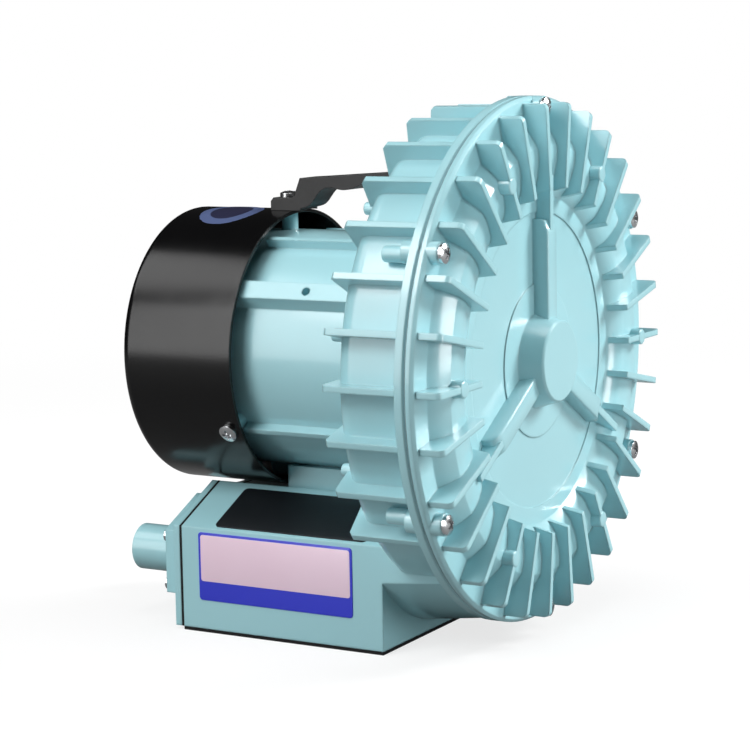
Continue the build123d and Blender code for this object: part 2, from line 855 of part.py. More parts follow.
def winding_ring(near, far):
    """Wound ends of the coils, with rounded corners."""
    inner = stator_bore + 3
    outer = stator_bore + slot_depth + 4
    return turned(
        (inner + 2.5, near),
        (outer - 3, near),
        (outer, near + 3),
        (outer, far - 3),
        (outer - 3, far),
        (inner + 2.5, far),
        (inner, far - 2.5),
        (inner, near + 2.5),
    )


def stator_winding():
    far = stator_start + stator_length
    body = winding_ring(stator_start - winding_overhang, stator_start - 0.3)
    body += winding_ring(far + 0.3, far + winding_overhang)
    bar = slot_bar(
        slot_width - 0.4, stator_bore + 2.3, stator_bore + 1.8 + slot_depth, stator_start - 2, far + 2
    )
    return body + [turned_by(bar, 360 / stator_slots * i) for i in range(stator_slots)]


def rear_end_shield():
    """Rear bearing seat on a plate with three ears, spigoted into the motor frame."""
    rear = rear_bearing
    face = frame_end + shield_thickness
    shoulder = rear["start"] + rear["width"] + 1.5
    body = turned(
        (rear["bore"] + 1.0, shoulder),
        (rear["bore"] + 1.0, face),
        (frame_radius, face),
        (frame_radius, frame_end),
        (frame_bore - seat_gap, frame_end),
        (frame_bore - seat_gap, frame_end - 2),
        (rear["outer"] + 4.5, frame_end - 2),
        (rear["outer"] + 4.0, rear["start"] + 0.5),
        (rear["outer"], rear["start"] + 0.5),
        (rear["outer"], shoulder),
    )
    places = [polar(shield_screw_circle, a) for a in shield_screw_angles]
    body += rods(places, 5.0, frame_end, face)
    return body - rods(places, m4_radius + 0.2, frame_end - 1, face + 1)


def shield_screws():
    part = screw(m4_radius, m4_head_radius - 0.4, m4_head_height, 14)
    depth = joint_y + frame_end + shield_thickness
    seats = [polar(shield_screw_circle, a) for a in shield_screw_angles]
    return [facing((x, depth, shaft_height + z), (0, 1, 0)) * part for x, z in seats]


def wave_washer():
    outer = rear_bearing["outer"]
    near = rear_bearing["start"] + rear_bearing["width"]
    return ring(outer - 0.3, outer - 4, near + seat_gap, near + 1.5 - seat_gap)


def cooling_fan():
    near = cooling_fan_start
    far = near + cooling_fan_width
    body = ring(11.0, rear_bearing["bore"], near, far)
    body += ring(36.0, 10.0, near, near + 2.5)
    blade = block(
        9.0, cooling_fan_radius, joint_y + near, joint_y + far, shaft_height - 1.1, shaft_height + 1.1
    )
    blade -= disc(10.0, near - 1, far + 1)
    return body + [turned_by(blade, 360 / cooling_fan_blades * i) for i in range(cooling_fan_blades)]


def fan_cover():
    """Drum over the cooling fan with slots for the air at its rear."""
    corner = fan_cover_corner
    outer = fan_cover_radius
    wall = fan_cover_wall
    end = fan_cover_end
    body = turned(
        (outer, fan_cover_start),
        (outer, end - corner),
        ((outer - corner * 0.29, end - corner * 0.29), (outer - corner, end)),
        (0, end),
        (0, end - wall),
        (outer - corner, end - wall),
        ((outer - wall - corner * 0.19, end - wall - corner * 0.19), (outer - wall, end - corner)),
        (outer - wall, fan_cover_start),
    )
    for i in range(-6, 7):
        height = 7.6 * i
        half = math.sqrt((outer - 9) ** 2 - height**2)
        slot = block(
            -half, half, joint_y + end - wall - 1, joint_y + end + 1,
            shaft_height + height - vent_slot_width / 2, shaft_height + height + vent_slot_width / 2,
        )
        post = block(-2.5, 2.5, joint_y, joint_y + end + 2, 0, 2 * shaft_height)
        body -= slot - post
    return body - [radial_hole(m4_radius + 0.2, post_depth, a, outer + 1, 5) for a in post_angles]


def fan_cover_screws():
    part = screw(m4_radius, m4_head_radius, m4_head_height, 8.8)
    seats = [polar(fan_cover_radius + seat_gap, a) for a in post_angles[1:]]
    return [facing((x, joint_y + post_depth, shaft_height + z), (x, 0, z)) * part for x, z in seats]


def handle():
    """Carrying grip over the motor: lug on the casing, wavy grip, foot on the fan cover."""
    foot = post_depth
    under = fan_cover_radius
    crown = under + handle_rise
    lug = handle_lug_end
    lug_top = handle_screw_height + 6
    top = Spline(
        (foot - 9.6, crown - 1.3), (foot - 30, crown), (foot - 49, crown + 1.3), (lug + 4, crown + 3),
        tangents=((-1, 0.05), (-1, 0.1)),
    )
    grip = Spline(
        (lug + 13, crown - 2.2), (foot - 48.3, crown - 2.4), (foot - 42.3, crown - 2.9),
        (foot - 38, crown - 4.6), (foot - 29.7, crown - 6.1), (foot - 23.4, crown - 5.3),
        (foot - 19.5, crown - 7.1), (foot - 14.3, under + 2.1), (foot - 9.8, under + 0.6),
        tangents=((1, 0), (1, -0.2)),
    )
    rim = Polyline(
        (lug + 4, crown + 3), (lug, crown + 5.5), (lug, lug_top), (handle_lug_start, lug_top),
        (handle_lug_start, handle_screw_height - 13), (lug + 13, crown - 2.2),
    )
    heel = Polyline(
        (foot - 9.8, under + 0.6), (foot - 9.8, under - 2), (foot + 5.2, under - 2),
        (foot + 5.2, handle_foot_top - 1.6), (foot + 3.8, handle_foot_top), (foot - 5.2, handle_foot_top),
        (foot - 6.6, handle_foot_top + 0.8), (foot - 9.6, crown - 1.3),
    )
    plane = Plane(origin=axis_point, x_dir=(0, 1, 0), z_dir=(1, 0, 0))
    face = plane * make_face(top.edges() + rim.edges() + grip.edges() + heel.edges())
    body = extrude(face, amount=handle_half_width, both=True)
    body -= disc(fan_cover_radius + seat_gap, fan_cover_start - 5, fan_cover_end)
    body -= rod(0, handle_screw_height, m4_radius + 0.2, handle_lug_start - 1, handle_lug_end + 1)
    return body - radial_hole(m4_radius + 0.2, post_depth, 90, handle_foot_top + 1, 12)


def handle_screws():
    front = screw(m4_radius, m4_head_radius, m4_head_height, 9.0)
    rear = screw(m4_radius, m4_head_radius, m4_head_height, handle_foot_top - frame_radius)
    lug = (0, joint_y + handle_lug_end, shaft_height + handle_screw_height)
    foot = (0, joint_y + post_depth, shaft_height + handle_foot_top)
    return [facing(lug, (0, 1, 0)) * front, facing(foot, (0, 0, 1)) * rear]


def bottom_plate():
    half = base_half_width - plate_rim - 0.1
    plate = block(
        -half, half, joint_y + base_start + plate_rim + 0.1, joint_y + base_end,
        pad_thickness, pad_thickness + plate_thickness - seat_gap,
    )
    for x, y in foot_places():
        plate -= Pos(x, base_y_centre() + y, 2) * Cylinder(m6_radius + 0.3, 8)
    for x, y in plate_screw_places:
        seat = Pos(x, base_y_centre() + y, pad_thickness)
        plate -= seat * Cylinder(m3_radius + 0.15, 8)
        plate -= seat * Cone(2.9, 1.5, 1.5, align=(Align.CENTER, Align.CENTER, Align.MIN))
    return plate


def plate_screws():
    """Countersunk screws, flush with the underside of the plate."""
    head = Cone(2.85, m3_radius - seat_gap, 1.45, align=(Align.CENTER, Align.CENTER, Align.MIN))
    shank = Cylinder(m3_radius - seat_gap, 8, align=(Align.CENTER, Align.CENTER, Align.MIN))
    part = head + shank
    for turn in (0, 90):
        part -= Rot(0, 0, turn) * Box(3.0, 0.7, 1.2)
    return [Pos(x, base_y_centre() + y, pad_thickness) * part for x, y in plate_screw_places]


def base_pad():
    half = base_half_width
    sheet = block(-half, half, joint_y + base_start, joint_y + base_end, 0, pad_thickness)
    for x, y in foot_places():
        sheet -= Pos(x, base_y_centre() + y, 0) * Cylinder(m6_radius + 0.3, 8)
    return sheet


def end_sheet(near, far, bore):
    """Flat piece on the rear of the base box, with two round holes."""
    sheet = base_prism(near, far, 0.0, pad_thickness)
    return sheet - spigot_rods(bore, near - 1, far + 1)


def spigot_rods(radius, near, far):
    places = [(side * spigot_offset, spigot_height - shaft_height) for side in (-1, 1)]
    return rods(places, radius, near, far)


def end_cover_gasket():
    near = base_end
    inner = base_prism(near - 1, near + 5, base_wall + 1, pad_thickness + base_wall, trough_radius + 7)
    lane = block(-3.5, 3.5, joint_y + near - 2, joint_y + near + 6, -1, shaft_height)
    window = inner - lane
    window -= end_rods(end_boss_radius, near - 2, near + 6)
    sheet = end_sheet(near, end_cover_start, 1.0) - window
    return sheet - end_rods(m3_radius + 0.15, near - 1, end_cover_start + 1)


def end_cover():
    """Lid of the base box: flat rim, hollow raised panel, two hose spigots with sleeves."""
    near = end_cover_start
    rim = near + end_plate_thickness
    panel = end_panel_face
    wall = end_panel_wall
    body = end_sheet(near, rim, 1.0)
    margin = end_panel_margin
    body += base_prism(rim - 0.5, panel, margin, end_panel_bottom, trough_radius + margin)
    inset = margin + wall
    hollow = base_prism(near - 1, panel - wall, inset, end_panel_bottom + wall, trough_radius + inset)
    body -= hollow - end_rods(end_boss_radius, near - 2, panel)
    body += spigot_rods(spigot_radius, panel - wall, spigot_end)
    body += spigot_rods(spigot_collar_radius, panel - wall, panel + spigot_collar_length)
    body += spigot_rods(foam_bore - 0.1, near - sleeve_length, panel - wall + 1)
    body -= end_rods(m3_radius + 0.15, near - 1, panel + 1)
    return body - spigot_rods(spigot_bore, near - sleeve_length - 2, spigot_end + 1)


def end_cover_screws():
    part = screw(m3_radius, m3_head_radius, 2.0, end_panel_face - base_end + 6.5)
    y = joint_y + end_panel_face
    return [facing((x, y, shaft_height + z), (0, 1, 0)) * part for x, z in end_screw_places()]


def foam(side):
    """Foam tube round the sleeve behind one spigot."""
    far = end_cover_start - seat_gap
    near = far - foam_length
    x = side * spigot_offset
    z = spigot_height - shaft_height
    return rod(x, z, foam_radius, near, far) - rod(x, z, foam_bore, near - 1, far + 1)


def box_corners(inset):
    half_y = box_length / 2 - inset
    half_z = box_half_height - inset
    middle = joint_y + box_start + box_length / 2
    return [(middle + sy * half_y, shaft_height + sz * half_z) for sy in (-1, 1) for sz in (-1, 1)]


def box_shell(x0, x1, inset):
    """Rounded block of the terminal box between two distances from the shaft."""
    place = Plane(
        origin=(x0, joint_y + box_start + box_length / 2, shaft_height), x_dir=(0, 1, 0), z_dir=(1, 0, 0)
    )
    width = box_length - 2 * inset
    height = 2 * (box_half_height - inset)
    return extrude(place * RectangleRounded(width, height, 4 - inset), amount=x1 - x0)


def side_rod(radius, x0, x1, y, z):
    """Round bar along X."""
    return Pos((x0 + x1) / 2, y, z) * Rot(0, 90, 0) * Cylinder(radius, x1 - x0)


def gland_place():
    return box_foot + box_depth / 2, joint_y + box_start + box_length / 2


def terminal_box():
    far = box_foot + box_depth
    body = box_shell(box_foot, far, 0) - box_shell(box_foot + box_wall, far + 1, box_wall)
    corners = box_corners(5.5)
    body += [side_rod(3.5, box_foot + 1, far, y, z) for y, z in corners]
    body -= [side_rod(m3_radius, far - 10, far + 1, y, z) for y, z in corners]
    body -= side_rod(wire_hole_radius, box_foot - 1, box_foot + 4, joint_y + wire_hole_depth, shaft_height)
    x, y = gland_place()
    return body - Pos(x, y, shaft_height - box_half_height) * Cylinder(6.0 + 0.1, 8)


def terminal_box_gasket():
    far = box_foot + box_depth
    body = box_shell(far, far + 0.8, 0) - box_shell(far - 1, far + 2, box_wall)
    body += [side_rod(3.5, far, far + 0.8, y, z) for y, z in box_corners(5.5)]
    return body - [side_rod(m3_radius + 0.15, far - 1, far + 2, y, z) for y, z in box_corners(5.5)]


def terminal_box_lid():
    near = box_foot + box_depth + 0.8
    body = chamfer(box_shell(near, near + box_lid_thickness, 0).faces().sort_by(Axis.X)[-1].edges(), 0.8)
    return body - [side_rod(m3_radius + 0.15, near - 1, near + 5, y, z) for y, z in box_corners(5.5)]


def terminal_box_screws():
    part = screw(m3_radius, m3_head_radius, 2.0, 11)
    x = box_foot + box_depth + 0.8 + box_lid_thickness
    return [facing((x, y, z), (1, 0, 0)) * part for y, z in box_corners(5.5)]


def run_capacitor():
    """Round can lying upright in the terminal box, with its two tags."""
    x = box_foot + box_wall + capacitor_radius + 0.5
    y = joint_y + box_start + box_length - box_wall - capacitor_radius - 1.0
    can = Pos(x, y, shaft_height) * Cylinder(capacitor_radius, capacitor_length)
    can = chamfer(can.edges().filter_by(GeomType.CIRCLE), 1.0)
    for side in (-1, 1):
        can += Pos(x, y + side * 4, shaft_height + capacitor_length / 2 + 1.5) * Box(4.8, 0.8, 4)
    return can


def terminal_block():
    """Insulated block with three wire ways and their clamp screws."""
    x = box_foot + box_wall
    y = joint_y + box_start + box_wall + 8.0
    body = block(x, x + 8, y - 4.5, y + 4.5, shaft_height - 15, shaft_height - 6 + 18)
    for i in range(3):
        z = shaft_height - 10 + 8.5 * i
        body -= Pos(x + 5, y, z) * Rot(90, 0, 0) * Cylinder(1.5, 12)
        body -= side_rod(1.6, x + 5, x + 9, y, z)
    return body


def cable_gland():
    """Body of the gland: thread through the box wall, hexagon outside."""
    x, y = gland_place()
    floor = shaft_height - box_half_height
    body = Pos(x, y, floor - 2.5) * extrude(RegularPolygon(gland_radius + 1.2, 6), amount=5, both=True)
    body &= Pos(x, y, floor - 2.5) * Cylinder(20, 5)
    body += Pos(x, y, floor + 1.0) * Cylinder(6.0, 10)
    body += Pos(x, y, floor - 7.0) * Cylinder(gland_radius - 1.5, 6)
    return body - Pos(x, y, floor) * Cylinder(gland_bore + 0.5, 40)


def gland_cap():
    """Nut that closes the gland round the cable."""
    x, y = gland_place()
    floor = shaft_height - box_half_height
    body = Pos(x, y, floor - 9.5) * Cylinder(gland_radius + 0.6, 9)
    body = chamfer(body.edges().filter_by(GeomType.CIRCLE).sort_by(Axis.Z)[:1], 2.0)
    body -= Pos(x, y, floor - 7.5 - seat_gap) * Cylinder(gland_radius - 1.5 + seat_gap, 5.04)
    return body - Pos(x, y, floor - 10) * Cylinder(gland_bore, 20)


def gland_nut():
    """Flat nut that holds the gland inside the box."""
    x, y = gland_place()
    inside = shaft_height - box_half_height + box_wall
    body = Pos(x, y, inside) * extrude(RegularPolygon(8.6, 6), amount=3)
    return body - Pos(x, y, inside) * Cylinder(6.0 + seat_gap, 20)


save("casing", casing())
save("front_cover", front_cover())
save("cover_gasket", cover_gasket())
save("cover_screws", *cover_screws())
save("impeller", impeller())
save("impeller_key", impeller_key())
save("impeller_washer", impeller_washer())
save("impeller_nut", impeller_nut())
save("spacer_sleeve", spacer_sleeve())
save("shaft", shaft())
save("shaft_seal", shaft_seal())
for name, bearing in (("front_bearing", front_bearing), ("rear_bearing", rear_bearing)):
    save(f"{name}_outer", bearing_outer(bearing))
    save(f"{name}_inner", bearing_inner(bearing))
    save(f"{name}_balls", *bearing_balls(bearing))
    save(f"{name}_cage", bearing_cage(bearing))
save("rotor_core", rotor_core())
save("rotor_cage", rotor_cage())
save("stator_core", stator_core())
save("stator_winding", stator_winding())
save("rear_end_shield", rear_end_shield())
save("shield_screws", *shield_screws())
save("wave_washer", wave_washer())
save("cooling_fan", cooling_fan())
save("fan_clip", circlip(cooling_fan_start + cooling_fan_width + 0.05, rear_bearing["bore"] - 0.9, 8.2))
save("fan_cover", fan_cover())
save("fan_cover_screws", *fan_cover_screws())
save("handle", handle())
save("handle_screws", *handle_screws())
save("bottom_plate", bottom_plate())
save("bottom_plate_screws", *plate_screws())
save("base_pad", base_pad())
save("end_cover_gasket", end_cover_gasket())
save("end_cover", end_cover())
save("end_cover_screws", *end_cover_screws())
save("inlet_silencer", foam(-1))
save("outlet_silencer", foam(1))
save("terminal_box", terminal_box())
save("terminal_box_gasket", terminal_box_gasket())
save("terminal_box_lid", terminal_box_lid())
save("terminal_box_screws", *terminal_box_screws())
save("run_capacitor", run_capacitor())
save("terminal_block", terminal_block())
save("cable_gland", cable_gland())
save("gland_cap", gland_cap())
save("gland_nut", gland_nut())
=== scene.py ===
import json
import math

import bpy
import numpy as np
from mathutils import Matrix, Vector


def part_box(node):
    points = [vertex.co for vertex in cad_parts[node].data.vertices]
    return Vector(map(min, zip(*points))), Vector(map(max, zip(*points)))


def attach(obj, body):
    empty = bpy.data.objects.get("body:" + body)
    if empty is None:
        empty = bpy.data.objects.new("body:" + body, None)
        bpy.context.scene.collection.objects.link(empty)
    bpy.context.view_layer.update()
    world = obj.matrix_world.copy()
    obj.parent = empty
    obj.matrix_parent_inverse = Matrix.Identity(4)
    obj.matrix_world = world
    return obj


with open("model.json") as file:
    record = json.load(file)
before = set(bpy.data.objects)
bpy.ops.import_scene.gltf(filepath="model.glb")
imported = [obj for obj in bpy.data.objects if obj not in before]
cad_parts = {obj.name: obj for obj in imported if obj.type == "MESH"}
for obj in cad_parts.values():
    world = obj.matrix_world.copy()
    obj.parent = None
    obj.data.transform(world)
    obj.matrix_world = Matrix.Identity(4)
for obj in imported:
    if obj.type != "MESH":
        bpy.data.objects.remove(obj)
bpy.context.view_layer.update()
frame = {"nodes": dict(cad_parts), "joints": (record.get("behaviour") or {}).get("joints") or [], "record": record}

X, Y, Z = range(3)


def far_side(node, axis):
    """Highest place of a CAD node along an axis, to the nearest micrometre."""
    return round(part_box(node)[1][axis], 6)


# Places taken over from the CAD, in metres
JOINT_Y = far_side("front_cover", Y)
DRUM_RADIUS = far_side("fan_cover", X)
BASE_HALF_WIDTH = far_side("base_pad", X)
SHAFT_Z = next(joint["pos_m"][Z] for joint in frame["joints"] if joint["name"] == "rotor_spin")

# The base's side wall ends at its shoulder, and its top slopes up from there
SHOULDER_Z = 0.0452
SLOPE = math.radians(24.8)

# The world and the floor are white to the camera, and this bright to everything else
WHITE = (1.0, 1.0, 1.0, 1.0)
WORLD_LEVEL = 0.02
FLOOR_TONE = 0.2

# The floor reaches this far. Near the object it glows by a share, which grows to one at the far distance
FLOOR_REACH = 6.0
FLOOR_WHITE = 0.75
FLOOR_NEAR = 0.3
FLOOR_FAR = 1.0

# Soft lamps: name, place, the two sides in metres, and power in watts
LAMP_AIM = (0, -0.02, 0.1)
LAMPS = (
    ("key_lamp", (0.95, -1.15, 0.95), (0.6, 0.6), 29.0),
    ("front_lamp", (0.0, -1.6, 0.25), (0.5, 0.6), 10.5),
    ("top_lamp", (0.0, -0.1, 1.6), (0.9, 0.9), 9.0),
    ("left_lamp", (-1.1, 0.45, 1.2), (0.7, 0.7), 14.5),
    ("rear_lamp", (-0.5, 1.0, 1.2), (0.7, 0.7), 4.2),
    ("side_lamp", (-1.25, 0.75, 0.45), (0.6, 0.9), 6.0),
)

# Camera fitted to the photograph: focal length in millimetres, place in metres, turns in degrees
LENS = 108.5
LENS_SHIFT = (0.00576, -0.01169)
CAMERA_PLACE = (-0.8342, -0.4903, 0.2438)
CAMERA_TURNS = (82.084, 0.985, -60.434)
CLIP_NEAR = 0.05
CLIP_FAR = 50.0

# Sockets of a Mix node: its factor, the two numbers or the two colours, and the colour that comes out
FACTOR = 0
NUMBERS = (2, 3)
COLOURS = (6, 7)
COLOUR_OUT = 2


class Num:
    """A number in a material. Arithmetic on it adds Math nodes."""

    def __init__(self, finish, socket):
        self.finish = finish
        self.socket = socket

    def maths(self, operation, *values):
        return self.finish.node("ShaderNodeMath", {"operation": operation}, dict(enumerate(values)))

    def __add__(self, other):
        return self.maths("ADD", self, other)

    def __mul__(self, other):
        return self.maths("MULTIPLY", self, other)

    def __rsub__(self, other):
        return self.maths("SUBTRACT", other, self)

    __radd__ = __add__
    __rmul__ = __mul__


class Finish:
    """A material under construction, with the one method that adds its nodes."""

    def __init__(self, name, **plain):
        self.material = bpy.data.materials.new(name)
        self.material.use_nodes = True
        self.tree = self.material.node_tree
        self.shader = self.tree.nodes["Principled BSDF"]
        self.set(**plain)

    def feed(self, node, values):
        """Put values on a node's sockets, and link those that are worked out by other nodes."""
        for key, value in values.items():
            if isinstance(value, Num):
                self.tree.links.new(value.socket, node.inputs[key])
            else:
                node.inputs[key].default_value = value

    def node(self, kind, settings=None, values=None, out=0):
        """Add a node with its settings and the values of its sockets, and give one of its outputs."""
        node = self.tree.nodes.new(kind)
        for key, value in (settings or {}).items():
            setattr(node, key, value)
        self.feed(node, values or {})
        return Num(self, node.outputs[out])

    def set(self, **values):
        """Set the shader's own sockets, whose names are written here with underscores."""
        self.feed(self.shader, {key.replace("_", " "): value for key, value in values.items()})

    def places(self):
        """Places on the piece, in metres."""
        return self.node("ShaderNodeTexCoord", out="Object")

    def noise(self, scale, detail=2.0, roughness=0.5, vector=None):
        """Noise with about as many lumps per metre as scale says."""
        values = {"Scale": scale, "Detail": detail, "Roughness": roughness}
        return self.node("ShaderNodeTexNoise", None, {"Vector": vector or self.places(), **values})

    def mix(self, factor, first, second):
        """Colour between two others."""
        values = {FACTOR: factor, COLOURS[0]: first, COLOURS[1]: second}
        return self.node("ShaderNodeMix", {"data_type": "RGBA"}, values, out=COLOUR_OUT)

    def relief(self, height, distance, soft_edge=0.0):
        """Bump as deep as distance in metres, over edges that look rounded by soft_edge metres."""
        values = {"Height": height, "Distance": distance, "Strength": 1.0}
        if soft_edge:
            values["Normal"] = self.node("ShaderNodeBevel", {"samples": 4}, {"Radius": soft_edge})
        self.set(Normal=self.node("ShaderNodeBump", None, values))


def rgb(text):
    """Linear colour of a six-digit sRGB value by the standard's formula, with full alpha."""
    parts = [int(text[i : i + 2], 16) / 255 for i in (0, 2, 4)]
    return (*[p / 12.92 if p <= 0.04045 else ((p + 0.055) / 1.055) ** 2.4 for p in parts], 1.0)


def casting_paint():
    """Satin blue-green enamel on die-cast aluminium: faint orange peel and slow shifts of tone."""
    f = Finish("casting_paint", Coat_Weight=0.8, Coat_Roughness=0.14)
    f.set(Base_Color=f.mix(f.noise(scale=14), rgb("9FD1D9"), rgb("A6D6DD")))
    f.set(Roughness=0.32 + 0.1 * f.noise(scale=60, detail=3))
    peel = f.noise(scale=1400) + 0.8 * f.noise(scale=420)
    f.relief(peel, distance=0.000018, soft_edge=0.0011)
    return f.material


def gasket_fibre():
    """Grey-blue fibre sheet of the cover's gasket, its edge slightly furry."""
    f = Finish("gasket_fibre", Roughness=0.85)
    fibres = f.noise(scale=900, detail=3, roughness=0.7)
    f.set(Base_Color=f.mix(fibres, rgb("6C8C94"), rgb("7F9CA2")))
    f.relief(f.noise(scale=2500), distance=0.00004)
    return f.material


def fan_cover_enamel():
    """Satin black stove enamel on the pressed steel of the fan cover."""
    f = Finish("fan_cover_enamel", Base_Color=rgb("060607"), Specular_IOR_Level=0.42)
    f.set(Roughness=0.17 + 0.06 * f.noise(scale=90, detail=3))
    f.relief(f.noise(scale=1100, detail=3), distance=0.00002, soft_edge=0.0006)
    return f.material


def moulded(name, colour, rough):
    """Moulded plastic with a fine spark-eroded grain."""
    f = Finish(name, Base_Color=rgb(colour))
    f.set(Roughness=rough + 0.1 * f.noise(scale=70))
    f.relief(f.noise(scale=900, detail=3, roughness=0.7), distance=0.00003, soft_edge=0.0005)
    return f.material


def gasket_rubber():
    """Matt black rubber with a dusty surface."""
    f = Finish("gasket_rubber", Specular_IOR_Level=0.3)
    dust = f.noise(scale=300, detail=4, roughness=0.7)
    f.set(Base_Color=f.mix(dust, rgb("121314"), rgb("1E1F21")))
    f.set(Roughness=0.75 + 0.15 * f.noise(scale=500))
    f.relief(f.noise(scale=1800), distance=0.00003)
    return f.material


def metal(name, colour, rough, grain, depth=0.000006):
    """Bare or plated metal with the fine marks of its making: grain is marks per metre along X, Y and Z."""
    f = Finish(name, Base_Color=rgb(colour), Metallic=1.0)
    stretched = f.node("ShaderNodeMapping", None, {"Vector": f.places(), "Scale": grain})
    marks = f.noise(scale=1.0, detail=3, roughness=0.6, vector=stretched)
    f.set(Roughness=rough + 0.16 * marks)
    f.relief(marks, depth, soft_edge=0.0002)
    return f.material


def core_sheets():
    """Stack of 0.5 mm electrical sheets, seen as fine lines across the shaft, each high in its middle."""
    sheets_per_metre, rounding = 2000.0, 0.1
    f = Finish("core_sheets", Base_Color=rgb("53565B"), Metallic=0.9)
    count = f.node("ShaderNodeSeparateXYZ", None, {0: f.places()}, out=Y) * sheets_per_metre
    place = count.maths("FRACT", count)
    edge = place.maths("SMOOTH_MIN", place, 1.0 - place, rounding)
    f.set(Roughness=0.45 + 0.2 * f.noise(scale=200))
    f.relief(edge, distance=0.00004)
    return f.material


def winding_wire():
    """Enamelled copper turns, wound round the shaft, with painted shade in the grooves between turns and a painted
    highlight on their crests.
    """
    f = Finish("winding_wire", Metallic=0.85, Coat_Weight=0.6, Coat_Roughness=0.15)
    turns = f.node(
        "ShaderNodeTexWave",
        {"wave_type": "RINGS", "rings_direction": "Y"},
        {"Vector": f.places(), "Scale": 220.0, "Distortion": 3.0, "Detail": 2.0, "Detail Scale": 1.5},
        out="Fac",
    )
    # Colour follows the turns: the darker copper in the grooves between them is painted shade, the brighter copper
    # on their crests is painted highlight
    f.set(Base_Color=f.mix(turns, rgb("8C4A1E"), rgb("C97B3E")))
    f.set(Roughness=0.3 + 0.15 * turns)
    f.relief(turns, distance=0.0003)
    return f.material


def silencer_foam():
    """Open-cell foam of the silencers, with painted shade in its pores."""
    f = Finish("silencer_foam", Roughness=0.95)
    cells = f.node("ShaderNodeTexVoronoi", None, {"Vector": f.places(), "Scale": 700.0})
    # Darker in the middle of each cell, where the bump sinks a pore: painted shade in the pores
    f.set(Base_Color=f.mix(cells, rgb("26272A"), rgb("5A5C60")))
    f.relief(cells, distance=0.0008)
    return f.material


PAINT = casting_paint()
STEEL = metal("turned_steel", "A6A9AD", 0.25, grain=(60, 3000, 60))

# The finish of each material slot of the record
FINISHES = {
    "body_paint": PAINT,
    "black_paint": fan_cover_enamel(),
    "black_rubber": gasket_rubber(),
    "bright_screw": metal("bright_zinc", "D4D6D8", 0.16, grain=(900, 900, 900)),
    "bare_aluminium": metal("cast_aluminium", "BFC2C4", 0.42, grain=(500, 500, 500), depth=0.00004),
    "bearing_steel": STEEL,
    "machined_steel": STEEL,
    "lamination": core_sheets(),
    "copper": winding_wire(),
    "zinc_plate": metal("zinc_sheet", "B4B8BC", 0.3, grain=(2500, 2500, 60)),
    "foam": silencer_foam(),
    "black_plastic": moulded("terminal_box_plastic", "17181A", 0.42),
    "fan_plastic": moulded("fan_plastic", "3A3C3F", 0.5),
    "capacitor_can": moulded("capacitor_plastic", "DADBD6", 0.3),
    "block_plastic": moulded("pale_plastic", "D8D2BE", 0.45),
}
for entry in frame["record"]["subparts"]:
    node = frame["nodes"][entry["node"]]
    node.data.materials.clear()
    node.data.materials.append(FINISHES[entry["material_slot"]])

# Two nodes have a finish of their own
frame["nodes"]["handle"].data.materials[0] = moulded("handle_plastic", "08080A", 0.34)
frame["nodes"]["cover_gasket"].data.materials[0] = gasket_fibre()


def piece(name, points, faces, material, cap=None):
    """Mesh object on the housing, from points in metres and four-cornered faces, with one flat cap."""
    mesh = bpy.data.meshes.new(name)
    corners = faces.tolist() + ([list(cap)] if cap is not None else [])
    mesh.from_pydata(points.reshape(-1, 3).tolist(), [], corners)
    mesh.materials.append(material)
    mesh.polygons.foreach_set("use_smooth", np.ones(len(mesh.polygons), bool))
    thing = bpy.data.objects.new(name, mesh)
    bpy.context.scene.collection.objects.link(thing)
    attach(thing, "housing")


def grid_faces(rows, columns, closed=True):
    """Faces of a grid of points, whose rows are closed rings or open lines."""
    r = np.arange(rows - 1)[:, None]
    c = np.arange(columns if closed else columns - 1)[None, :]
    beside = (c + 1) % columns
    corners = [r * columns + c, r * columns + beside, (r + 1) * columns + beside, (r + 1) * columns + c]
    return np.stack(np.broadcast_arrays(*corners), -1).reshape(-1, 4)


def full_turn(steps):
    """Angles of one turn in equal steps."""
    return np.linspace(0, 2 * math.pi, steps, endpoint=False)


def quarter_turn(steps):
    """Angles of a quarter of a turn, both ends included."""
    return np.linspace(0, math.pi / 2, steps)


def rounded_outline(width, height, corner):
    """Outline of a rectangle whose corners are quarter circles, anticlockwise round the origin."""
    turn = quarter_turn(8)
    quarter = np.stack([np.cos(turn), np.sin(turn)], -1) * corner
    sides = []
    for k, (sx, sy) in enumerate(((1, 1), (-1, 1), (-1, -1), (1, -1))):
        c, s = math.cos(k * math.pi / 2), math.sin(k * math.pi / 2)
        turned = quarter @ np.array([[c, s], [-s, c]])
        sides.append(turned + [sx * (width / 2 - corner), sy * (height / 2 - corner)])
    return np.concatenate(sides)


def plate(name, centre, along, up, outline, thickness, material, edge=0.0001):
    """Thin plate: its outline rises from the seat and turns over a rounded edge to a flat top.

    A ring at height h is the outline drawn in by d, where (d, h) goes round a quarter circle.
    """
    along, up = np.array(along, float), np.array(up, float)
    out = np.cross(along, up)
    t = quarter_turn(4)
    inset = np.concatenate([[0.0], edge * (1 - np.cos(t))])
    rise = np.concatenate([[0.0], thickness - edge + edge * np.sin(t)])
    half = np.abs(outline).max(axis=0)
    flat = outline[None] * (1 - inset[:, None, None] / half)
    points = flat[..., :1] * along + flat[..., 1:] * up + rise[:, None, None] * out + np.array(centre)
    rings, count = len(inset), len(outline)
    cap = np.arange(count) + count * (rings - 1)
    piece(name, points, grid_faces(rings, count), material, cap)


def label_blue():
    """Printed blue of the side label under a clear film."""
    f = Finish("label_blue", Base_Color=rgb("333CD2"), Roughness=0.32, Coat_Weight=0.5, Coat_Roughness=0.12)
    f.relief(f.noise(scale=500), distance=0.00001)
    return f.material


def label_pale():
    """Printed pale ground of the side label under a clear film."""
    f = Finish("label_pale", Roughness=0.32, Coat_Weight=0.5, Coat_Roughness=0.12)
    f.set(Base_Color=f.mix(f.noise(scale=30), rgb("F0D2E4"), rgb("F7DCEC")))
    f.relief(f.noise(scale=500), distance=0.00001)
    return f.material


